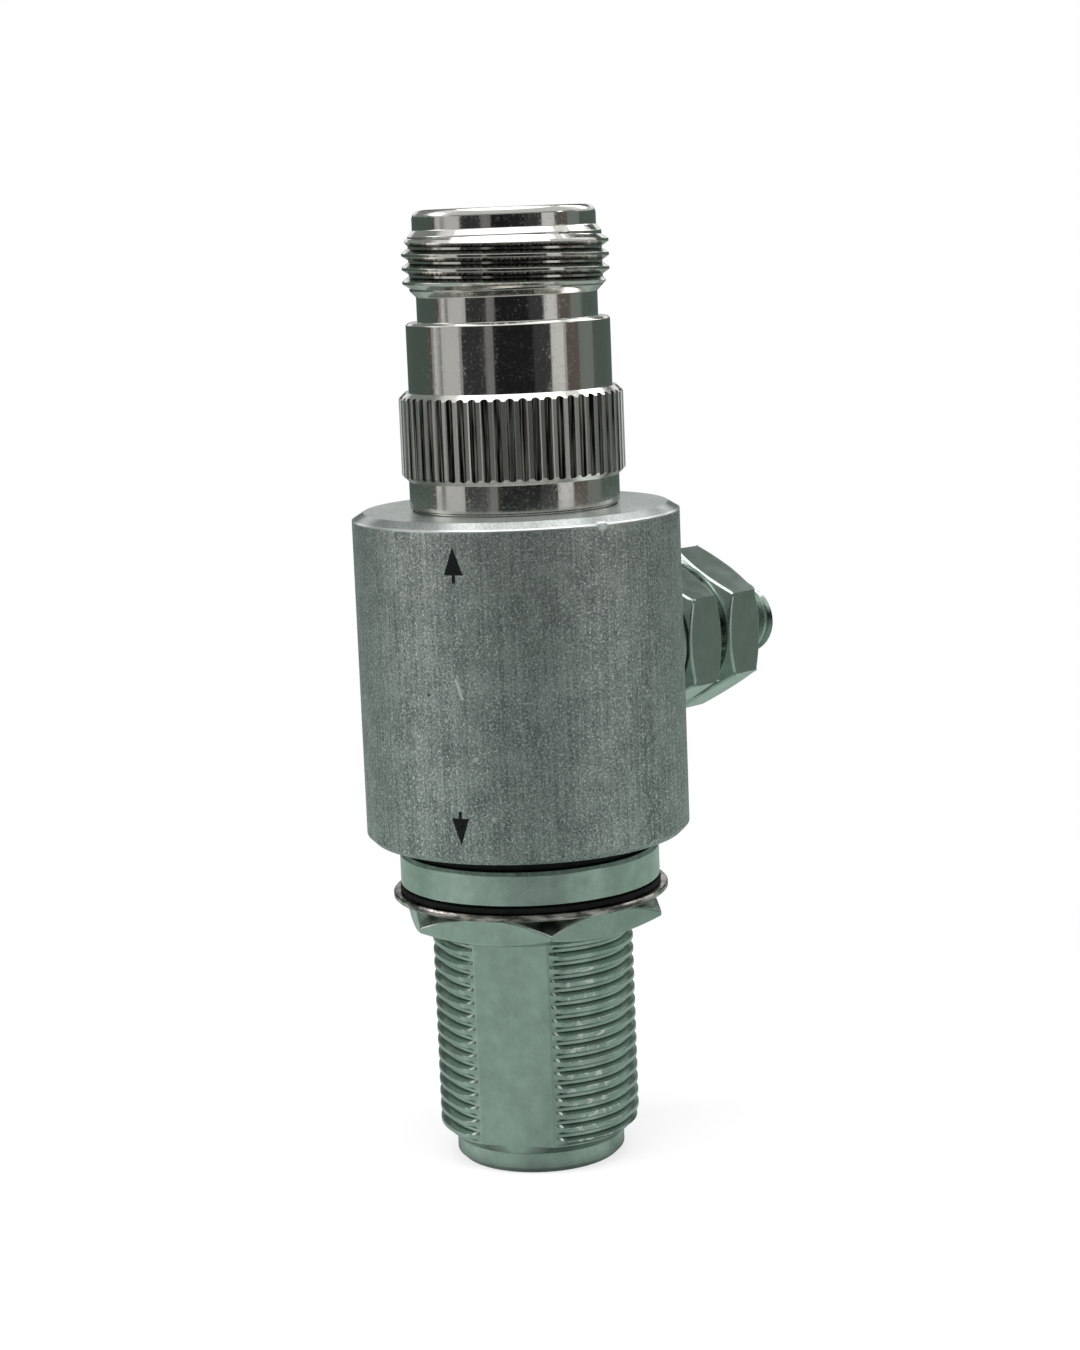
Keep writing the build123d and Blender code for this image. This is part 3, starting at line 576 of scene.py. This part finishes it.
# Bright nickel: a polished plate that mirrors the room, a little warm, with the turning's
# hairlines round it and faint specks of wear two tenths of a millimetre across. In the
# flutes it is dull, and there and down in the thread's grooves it is painted dark in streaks
# along them as painted shade, with a painted white highlight along each flute's edges.
bright_nickel, tree, place = started("bright_nickel")
round_axis = add(tree, "ShaderNodeMapping", {"Vector": place, "Scale": (0.05, 0.05, 1)})
hairlines = add(tree, "ShaderNodeTexNoise", {"Vector": round_axis, "Scale": 9000, "Detail": 2})
specks = add(tree, "ShaderNodeTexNoise", {"Vector": place, "Scale": 4600, "Detail": 2})
haze = add(tree, "ShaderNodeTexNoise", {"Vector": place, "Scale": 600, "Detail": 4})
worn = add(tree, "ShaderNodeMapRange", {"Value": specks, 1: 0.5, 2: 0.8, 3: 0.0, 4: 0.2})
hazy = add(tree, "ShaderNodeMapRange", {"Value": haze, 1: 0.35, 2: 0.7, 3: 0.07, 4: 0.13})
dull = add(tree, "ShaderNodeMath", {0: worn, 1: hazy}, operation="ADD")
sunk = add(tree, "ShaderNodeAttribute", attribute_name="sunk").outputs["Fac"]
groove = add(tree, "ShaderNodeAttribute", attribute_name="groove").outputs["Fac"]
flute = add(tree, "ShaderNodeMapRange", {"Value": sunk, 1: 0.52, 2: 0.72})
painted_groove_shade = add(tree, "ShaderNodeMapRange", {"Value": groove, 1: 0.35, 2: 0.7})
painted_groove_shade = add(tree, "ShaderNodeMath", {0: flute, 1: painted_groove_shade}, operation="MAXIMUM")
land = add(tree, "ShaderNodeMapRange", {"Value": sunk, 1: 0.1, 2: 0.2})
# Painted highlight: the ramp turns white where a flute's edge meets the land.
plate = add(tree, "ShaderNodeValToRGB", {"Fac": sunk}, (
    (0.1, "#d1cfca"), (0.2, "#bcb9b3"), (0.36, "#bcb9b3"), (0.44, "#ffffff"),
))
along = add(tree, "ShaderNodeMapping", {"Vector": place, "Scale": (1, 1, 0.03)})
streaks = add(tree, "ShaderNodeTexNoise", {"Vector": along, "Scale": 7000, "Detail": 2})
# Painted shade: dark streaks fill the flutes and the thread's grooves.
painted_shade_streaks = add(tree, "ShaderNodeValToRGB", {"Fac": streaks}, ((0.43, "#1a1816"), (0.66, "#95918b")))
plate = add(tree, "ShaderNodeMix", {"Factor": painted_groove_shade, 6: plate, 7: painted_shade_streaks}, data_type="RGBA")
dull = add(tree, "ShaderNodeMix", {"Factor": land, 2: dull, 3: 0.33})
grain = add(tree, "ShaderNodeBump", {"Height": hairlines, "Strength": 0.06, "Distance": 0.00001})
metal = add(tree, "ShaderNodeBsdfPrincipled", {
    "Base Color": plate, "Roughness": dull, "Normal": grain, "Metallic": 1,
})
add(tree, "ShaderNodeOutputMaterial", {"Surface": metal})

upper_jack = turned("upper_jack", jack_outline, segments=320)
eased(upper_jack, 0.05)
grown(upper_jack, grip_tree, {
    "Flutes": 56, "Steps": 14, "Radius": 8.65, "Depth": 0.2, "Flute Radius": 0.4, "Chamfer": 0.5,
    "Low": 54.06, "High": 60.88, "Inner Radius": 7.3, "Material": bright_nickel,
})
grown(upper_jack, thread_tree, {
    **jack_thread, "Crest Width": 0.2, "Root Width": 1.03, "Rounding": 0.05,
    "Low": 68.526, "Low Slope": 0.9875, "High": 72.602, "High Slope": 0.9025 / 1.05,
    **no_flat, "Material": bright_nickel,
})
fitted(upper_jack, "equipment_shell", "body", bright_nickel)


# Seals between the jacks and the housing, and the gasket under the lower flange: moulded
# and cut rubber, squeezed thin, of which only the rims show.
def ring_outline(inner, outer, low, high, soft=0.1):
    """A ring's section with its corners broken."""
    return (
        (inner + soft, low), (outer - soft, low), (outer, low + soft), (outer, high - soft),
        (outer - soft, high), (inner + soft, high), (inner, high - soft), (inner, low + soft),
    )


# Black rubber: nearly black, matt, and finely uneven.
black_rubber, tree, place = started("black_rubber")
bloom = add(tree, "ShaderNodeTexNoise", {"Vector": place, "Scale": 1500, "Detail": 3})
rubber = add(tree, "ShaderNodeValToRGB", {"Fac": bloom}, ((0.35, "#040505"), (0.75, "#0d0f0e")))
grain = add(tree, "ShaderNodeBump", {"Height": bloom, "Strength": 0.3, "Distance": 0.00003})
matt = add(tree, "ShaderNodeBsdfPrincipled", {
    "Base Color": rubber, "Normal": grain, "Roughness": 0.7, "IOR": 1.52,
    "Specular IOR Level": 0.3,
})
add(tree, "ShaderNodeOutputMaterial", {"Surface": matt})

for node, inner, outer, low, high in (
    ("antenna_shell_seal", 8.62, 9.6, 25.0, 26.1),
    ("equipment_shell_seal", 7.22, 7.93, 50.66, 51.76),
):
    seal = turned(node + "_ring", ring_outline(inner, outer, low, high), segments=192)
    fitted(seal, node, "body", black_rubber)
gasket = turned("flange_gasket", ring_outline(7.9575, 10.2975, 21.8, 22.2, 0.08), segments=256)
fitted(gasket, "panel_gasket", "body", black_rubber)


# Mounting washer: a thin pressed steel washer, loose on the bulkhead thread and a little
# wider than the flange.
washer = turned("mounting_washer", ring_outline(8.0175, 10.8475, 21.3, 21.8, 0.12), segments=256)

# Steel: bright metal with a warm cast, painted in arcs of dark and light round the washer a
# millimetre or two long, as painted reflections.
steel_painted_arcs, tree, place = started("steel_painted_arcs")
arcs = add(tree, "ShaderNodeMapping", {"Vector": place, "Scale": (1, 1, 4)})
# Painted reflections: dark and light arcs stretched round the ring.
painted_reflection_arcs = add(tree, "ShaderNodeTexNoise", {"Vector": arcs, "Scale": 600, "Detail": 4, "Roughness": 0.6})
steel = add(tree, "ShaderNodeValToRGB", {"Fac": painted_reflection_arcs}, ((0.42, "#625e5c"), (0.64, "#e3d6d2")))
metal = add(tree, "ShaderNodeBsdfPrincipled", {"Base Color": steel, "Roughness": 0.2, "Metallic": 1})
add(tree, "ShaderNodeOutputMaterial", {"Surface": metal})

fitted(washer, "panel_washer", "nut_washer", steel_painted_arcs)


# Mounting nut: a hexagon nut cut from brass bar, chamfered at 24 degrees on its lower face
# and at 36 on its upper one, and plated like the jack that it runs on.
nut_width = 18.895


def hexagon(name, width, low, high, turn):
    """A hexagonal bar that a turned blank is cut down to."""
    bm = bmesh.new()
    angles = [math.radians(turn + 60 * corner) for corner in range(6)]
    foot, top = (ring(bm, width / math.sqrt(3), height, angles) for height in (low, high))
    band(bm, foot, top)
    bm.faces.new(foot[::-1])
    bm.faces.new(top)
    return made(bm, name)


def nut_outline(width, bore, low, high, countersink, chamfers=(30, 30)):
    """Half section of a nut's blank: bore, countersinks, and the chamfers' slopes in degrees
    at its lower and upper face."""
    face, corner = width / 2 - 0.22, width / math.sqrt(3) + 0.05
    rise, drop = ((corner - face) * math.tan(math.radians(slope)) for slope in chamfers)
    return (
        (bore, low + countersink), (bore + countersink, low), (face, low), (corner, low + rise),
        (corner, high - drop), (face, high), (bore + countersink, high), (bore, high - countersink),
    )


nut = turned("mounting_nut", nut_outline(nut_width, 7.9875, 19, 21.3, 0.3, (24, 36)), segments=192)
machined(nut, "INTERSECT", hexagon("nut_bar", nut_width, 15, 25, 50))
eased(nut, 0.1, segments=3, clamped=False)
fitted(nut, "panel_nut", "mounting_nut", satin_nickel)


# Grounding cap: turned from hexagon brass bar, with the plug that closes the gas tube's
# port on one side of its hexagon, cut with a fine thread, and the grounding stud with its
# coarse one on the other.
cap_outline = (
    (0, 9.2), (3.2, 9.2), (3.45, 9.45), (3.45, 13.4), (5.5, 13.4), (5.5, 13.7), (5.65, 13.7),
    (6.834, 14.384), (6.834, 17.266), (5.65, 17.95), (2.66, 17.95), (2.66, 28.4), (2.5, 28.55),
    (2.2, 28.6), (0, 28.6),
)
cap_width = 11.75
cap = turned("grounding_cap", cap_outline, segments=192)
machined(cap, "INTERSECT", hexagon("cap_bar", cap_width, 5, 35, 0))
eased(cap, 0.18, segments=4, clamped=False)
grown(cap, thread_tree, {
    "Crest Radius": 4.0, "Root Radius": 3.45, "Pitch": 1.0, "Crest Width": 0.15,
    "Root Width": 0.95, "Rounding": 0.05,
    "Low": 9.25, "Low Slope": 1.0, "High": 13.35, "High Slope": 1.5,
    **no_flat, "Material": satin_nickel,
})
grown(cap, thread_tree, {
    "Crest Radius": 3.175, "Root Radius": 2.66, "Pitch": 25.4 / 20, "Crest Width": 0.3,
    "Root Width": 1.05, "Rounding": 0.08,
    "Low": 18.1, "Low Slope": 1.2, "High": 28.6, "High Slope": 2.0,
    **no_flat, "Material": satin_nickel,
})
fitted(cap, "ground_cap", "cap", satin_nickel, along_port)


# Cap seal: a moulded rubber O-ring round the plug, squeezed between the housing's spot face
# and the cap's hexagon.
ring_radius, cord_radius, cord_height = 5, 0.9, 12.5
section = [
    (ring_radius + cord_radius * math.cos(angle), cord_height + cord_radius * math.sin(angle))
    for angle in (math.radians(step) for step in range(0, 360, 20))
]
seal = turned("cap_seal_ring", section, segments=128)
fitted(seal, "cap_seal", "seal", black_rubber, along_port)


# Lock washer: a steel spring washer between cap and nut, coiled, cut through at the bottom
# and drawn flat by the nut.
lock_washer = turned("lock_washer", ring_outline(3.275, 5.275, 17.95, 18.85, 0.1), segments=160)
slit_centre, slit_size = (4.2, 0, 18.4), (2.3, 0.9, 4)
bm = bmesh.new()
bmesh.ops.create_cube(
    bm, size=1, matrix=Matrix.Translation(slit_centre) @ Matrix.Diagonal((*slit_size, 1)),
)
machined(lock_washer, "DIFFERENCE", made(bm, "slit_cutter"))
fitted(lock_washer, "ground_washer", "stud_washer", steel_painted_arcs, along_port)


# Ground nut: a hexagon nut on the stud, of the same bar and finish as the cap, chamfered at
# 30 degrees on both faces.
nut = turned("ground_nut_hexagon", nut_outline(cap_width, 3.225, 18.85, 23, 0.35), segments=192)
machined(nut, "INTERSECT", hexagon("nut_bar", cap_width, 15, 25, 0))
eased(nut, 0.18, segments=4, clamped=False)
fitted(nut, "ground_nut", "stud_nut", satin_nickel, along_port)


# Contacts, beads and rings in the mouths of the jacks, the conductor between them, and the
# gas tube with its spring: small turnings, pressings and a glazed ceramic ring.
def from_cad(node, name, material, ease):
    """Dresses a copy of a CAD node whose shape is right, merged and with its edges eased."""
    obj = bpy.data.objects.new(name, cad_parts[node].data.copy())
    bpy.context.scene.collection.objects.link(obj)
    bm = bmesh.new()
    bm.from_mesh(obj.data)
    bmesh.ops.scale(bm, vec=(1000, 1000, 1000), verts=bm.verts)
    bmesh.ops.remove_doubles(bm, verts=bm.verts, dist=0.001)
    bmesh.ops.dissolve_limit(bm, angle_limit=math.radians(1), verts=bm.verts, edges=bm.edges)
    bm.to_mesh(obj.data)
    bm.free()
    if "custom_normal" in obj.data.attributes:
        obj.data.attributes.remove(obj.data.attributes["custom_normal"])
    eased(obj, ease)
    fitted(obj, node, "body", material)


# Gold plate on the contacts, plain turned brass, white fluoropolymer and glazed ceramic:
# each a typical value for its material with a faint unevenness of its own.
inner_materials = {"bright_nickel": bright_nickel}
for name, light, dark, metallic, roughness, ior in (
    ("gold_plate", "#e3c07a", "#c9a25c", 1, 0.18, 1.5),
    ("turned_brass", "#d9bd7c", "#b8975a", 1, 0.27, 1.5),
    ("white_fluoropolymer", "#f1f1ec", "#e4e5df", 0, 0.42, 1.38),
    ("glazed_ceramic", "#f3efe6", "#e6e1d6", 0, 0.2, 1.55),
):
    material, tree, place = started(name)
    patches = add(tree, "ShaderNodeTexNoise", {"Vector": place, "Scale": 1100, "Detail": 4})
    tone = add(tree, "ShaderNodeValToRGB", {"Fac": patches}, ((0.35, dark), (0.65, light)))
    grain = add(tree, "ShaderNodeBump", {"Height": patches, "Strength": 0.1, "Distance": 0.00002})
    surface = add(tree, "ShaderNodeBsdfPrincipled", {
        "Base Color": tone, "Normal": grain, "Metallic": metallic, "Roughness": roughness, "IOR": ior,
    })
    add(tree, "ShaderNodeOutputMaterial", {"Surface": surface})
    inner_materials[name] = material

for node, name, material, slot, ease in (
    ("antenna_contact", "lower_contact", "gold_plate", "plated_contact", 0.03),
    ("equipment_contact", "upper_contact", "gold_plate", "plated_contact", 0.03),
    ("antenna_insulator", "lower_bead", "white_fluoropolymer", "white_ptfe", 0.08),
    ("equipment_insulator", "upper_bead", "white_fluoropolymer", "white_ptfe", 0.08),
    ("antenna_retaining_ring", "lower_ring", "turned_brass", "plain_brass", 0.05),
    ("equipment_retaining_ring", "upper_ring", "turned_brass", "plain_brass", 0.05),
    ("centre_conductor", "conductor_rod", "turned_brass", "plain_brass", 0.05),
    ("gas_tube_ceramic", "tube_ceramic", "glazed_ceramic", "white_ceramic", 0.05),
    ("gas_tube_inner_electrode", "tube_inner_cup", "bright_nickel", "bright_nickel", 0.05),
    ("gas_tube_outer_electrode", "tube_outer_cup", "bright_nickel", "bright_nickel", 0.05),
    ("gas_tube_spring", "tube_spring", "bright_nickel", "bright_nickel", 0.04),
):
    from_cad(node, name, inner_materials[material], ease)


# Studio: a pale floor and white surroundings, under three soft lights. Cards in light and
# dark tones stand round the part, out of the camera's sight and seen only by its bright
# metal, which mirrors them as light and dark bands.
scene = bpy.context.scene
scene.view_settings.view_transform = "Standard"


def white_for_the_eye(tree):
    """1 on rays from the camera, and on those that metal and glass send on."""
    path = add(tree, "ShaderNodeLightPath").outputs
    seen = path["Is Camera Ray"]
    for ray in (path["Is Glossy Ray"], path["Is Transmission Ray"]):
        seen = add(tree, "ShaderNodeMath", {0: seen, 1: ray}, operation="MAXIMUM")
    return seen


world = bpy.data.worlds.new("white_surroundings")
scene.world = world
tree = emptied(world)
level = add(tree, "ShaderNodeMapRange", {"Value": white_for_the_eye(tree), 3: 0.6, 4: 1.0})
sky = add(tree, "ShaderNodeBackground", {"Color": (1, 1, 1, 1), "Strength": level})
add(tree, "ShaderNodeOutputWorld", {"Surface": sky})

bm = bmesh.new()
bmesh.ops.create_circle(bm, cap_ends=True, segments=96, radius=4.0)
floor = made(bm, "floor")
floor.location.z = -0.00002
pale_floor, tree, place = started("pale_floor")
reach = add(tree, "ShaderNodeVectorMath", {0: place}, operation="LENGTH")
fade = add(tree, "ShaderNodeMapRange", {
    "Value": reach, 1: 0.012, 2: 0.09, 3: 0.35, 4: 0.0,
}, interpolation_type="SMOOTHSTEP")
paint = add(tree, "ShaderNodeBsdfDiffuse", {"Color": colour("#f6f7f7")})
glow = add(tree, "ShaderNodeEmission", {"Color": (1, 1, 1, 1), "Strength": 1})
blank = add(tree, "ShaderNodeMixShader", {0: fade, 1: glow, 2: paint})
white = add(tree, "ShaderNodeMixShader", {0: white_for_the_eye(tree), 1: paint, 2: blank})
add(tree, "ShaderNodeOutputMaterial", {"Surface": white})
floor.data.materials.append(pale_floor)

# The cards: a sheet on the floor, a wall 140 mm from the axis and a sloping roof, each in two
# rows, and a white ceiling. Each tone runs from one compass direction to the next, in degrees
# from the camera towards its right.
facing_camera = -137.5
floor_tones = (
    (-180, "#a9b9b1"), (-92, "#b9c8c0"), (-79, "#c0cdc6"), (-50, "#adbcb4"), (-20, "#98a59f"),
    (30, "#a9b7b0"), (47, "#b4c1ba"), (68, "#98a7a0"), (84, "#a9b9b1"), (180, "#a9b9b1"),
)
lower_tones = (
    (-180, "#8f9b95"), (-92, "#a3aca7"), (-79, "#b4bbb7"), (-50, "#98a09c"), (-20, "#626a66"),
    (30, "#7c8480"), (47, "#b4bbb7"), (68, "#8f9b95"), (80, "#757e79"), (115, "#8f9b95"),
    (180, "#8f9b95"),
)
upper_tones = (
    (-180, "#b9bcba"), (-168, "#525f59"), (-98, "#5a504b"), (-92, "#d0d1cf"), (-84, "#8f908e"),
    (-79, "#cccdcb"), (-54, "#37383a"), (-27, "#858584"), (-17, "#212223"), (27, "#3f4041"),
    (47, "#dedfdd"), (64, "#665e5a"), (84, "#7d8580"), (106, "#58655f"), (168, "#b9bcba"),
    (180, "#b9bcba"),
)
brow_tones = (
    (-180, "#ffffff"), (-150, "#8f928f"), (-100, "#f2f3f2"), (-70, "#8f928f"), (100, "#d8dad8"),
    (150, "#ffffff"), (180, "#ffffff"),
)
roof_tones = (
    (-180, "#4a4c4b"), (-156, "#8d9390"), (-118, "#ffffff"), (-78, "#dcdedd"), (100, "#ffffff"),
    (140, "#5f6663"), (156, "#4a4c4b"), (180, "#4a4c4b"),
)
ceiling_tones = ((-180, "#ffffff"), (180, "#ffffff"))
cards_outline = ((5, 0.03), (60, 0.03), (140, 0.03), (140, 30), (140, 86), (75, 190), (1, 190))
angles = [math.radians(2 * step) for step in range(180)]
bm = bmesh.new()
rings = [ring(bm, radius * 0.001, height * 0.001, angles) for radius, height in cards_outline]
for low, high in zip(rings, rings[1:]):
    band(bm, high, low)
cards = made(bm, "studio_cards")
cards.visible_camera = False
cards.visible_diffuse = False
cards.visible_shadow = False
cards.visible_transmission = False
card, tree, place = started("studio_card")
turn = (0, 0, math.radians(-facing_camera))
turned_to = add(tree, "ShaderNodeMapping", {"Vector": place, "Rotation": turn})
compass = add(tree, "ShaderNodeTexGradient", {
    "Vector": turned_to,
}, gradient_type="RADIAL").outputs["Fac"]
height = add(tree, "ShaderNodeSeparateXYZ", {0: place}).outputs["Z"]
seen = None
for tones, soft, low, high in (
    (floor_tones, 8, 0, 0), (lower_tones, 8, 0.001, 0.004), (upper_tones, 1, 0.034, 0.04),
    (brow_tones, 4, 0.085, 0.088), (roof_tones, 4, 0.106, 0.112),
    (ceiling_tones, 0, 0.1893, 0.1899),
):
    stops = []
    for (start, tone), (stop, _) in zip(tones, tones[1:]):
        stops += [((start + 180 + soft) / 360, tone), ((stop + 180 - soft) / 360, tone)]
    row = add(tree, "ShaderNodeValToRGB", {"Fac": compass}, stops)
    if seen:
        above = add(tree, "ShaderNodeMapRange", {"Value": height, 1: low, 2: high})
        row = add(tree, "ShaderNodeMix", {"Factor": above, 6: seen, 7: row}, data_type="RGBA")
    seen = row

# The sheet is dim close to the jack's foot. Three bright patches of the roof and the ceiling
# add to the glow, each with its direction, half width, height, half height and strength.
reach = add(tree, "ShaderNodeVectorMath", {0: place}, operation="LENGTH")
strength = add(tree, "ShaderNodeMapRange", {"Value": reach, 1: 0.0065, 2: 0.0095, 3: 0.35, 4: 1.0})
for azimuth, wide, level, tall, power in (
    (-97, 13, 0.126, 0.016, 2.5), (128, 9, 0.142, 0.034, 2.5), (74, 4, 0.097, 0.007, 8),
    (0, 181, 0.19, 0.0002, 1.3),
):
    beside = add(tree, "ShaderNodeMath", {
        0: compass, 1: (azimuth + 180) / 360, 2: wide / 360,
    }, operation="COMPARE")
    level = add(tree, "ShaderNodeMath", {0: height, 1: level, 2: tall}, operation="COMPARE")
    lit = add(tree, "ShaderNodeMath", {0: beside, 1: level}, operation="MULTIPLY")
    strength = add(tree, "ShaderNodeMath", {0: lit, 1: power, 2: strength}, operation="MULTIPLY_ADD")
glow = add(tree, "ShaderNodeEmission", {"Color": seen, "Strength": strength})
add(tree, "ShaderNodeOutputMaterial", {"Surface": glow})
cards.data.materials.append(card)

# The lights: three soft boxes 60 cm away, aimed at the middle of the part and left out of
# its reflections.
light_target, light_distance = Vector((0, 0, 0.035)), 0.6
for name, azimuth, elevation, width, height, power in (
    ("left_softbox", -72, 20, 0.35, 0.6, 3.2),
    ("right_softbox", 58, 20, 0.25, 0.6, 2.2),
    ("overhead_softbox", 0, 75, 0.6, 0.6, 3.0),
):
    lamp = bpy.data.lights.new(name, "AREA")
    lamp.shape = "RECTANGLE"
    lamp.size = width
    lamp.size_y = height
    lamp.energy = power
    light = bpy.data.objects.new(name, lamp)
    scene.collection.objects.link(light)
    bearing, tilt = math.radians(facing_camera + azimuth), math.radians(elevation)
    away = Vector((math.cos(bearing) * math.cos(tilt), math.sin(bearing) * math.cos(tilt), math.sin(tilt)))
    light.location = light_target + light_distance * away
    light.rotation_euler = away.to_track_quat("Z", "Y").to_euler()
    light.visible_glossy = False
    light.visible_camera = False


# Camera: a long lens about 22 cm away, level with the upper jack's lip, turned to the printed
# side of the housing and tipped a little to the left.
camera_data = bpy.data.cameras.new("camera")
camera_data.lens = 74.13
camera_data.sensor_width = 36
camera_data.clip_start = 0.01
camera = bpy.data.objects.new("camera", camera_data)
scene.collection.objects.link(camera)
bearing, tilt = math.radians(-47.5), math.radians(9.3)
back = Vector((math.sin(bearing) * math.cos(tilt), -math.cos(bearing) * math.cos(tilt), math.sin(tilt)))
right = Vector((math.cos(bearing), math.sin(bearing), 0))
aim, distance, aside, roll = Vector((0, 0, 0.0384)), 0.2175, 0.00138, math.radians(-2.3)
camera.location = aim + distance * back
look = aim + aside * right - camera.location
camera.rotation_mode = "QUATERNION"
camera.rotation_quaternion = look.to_track_quat("-Z", "Y") @ Quaternion((0, 0, 1), roll)
scene.camera = camera
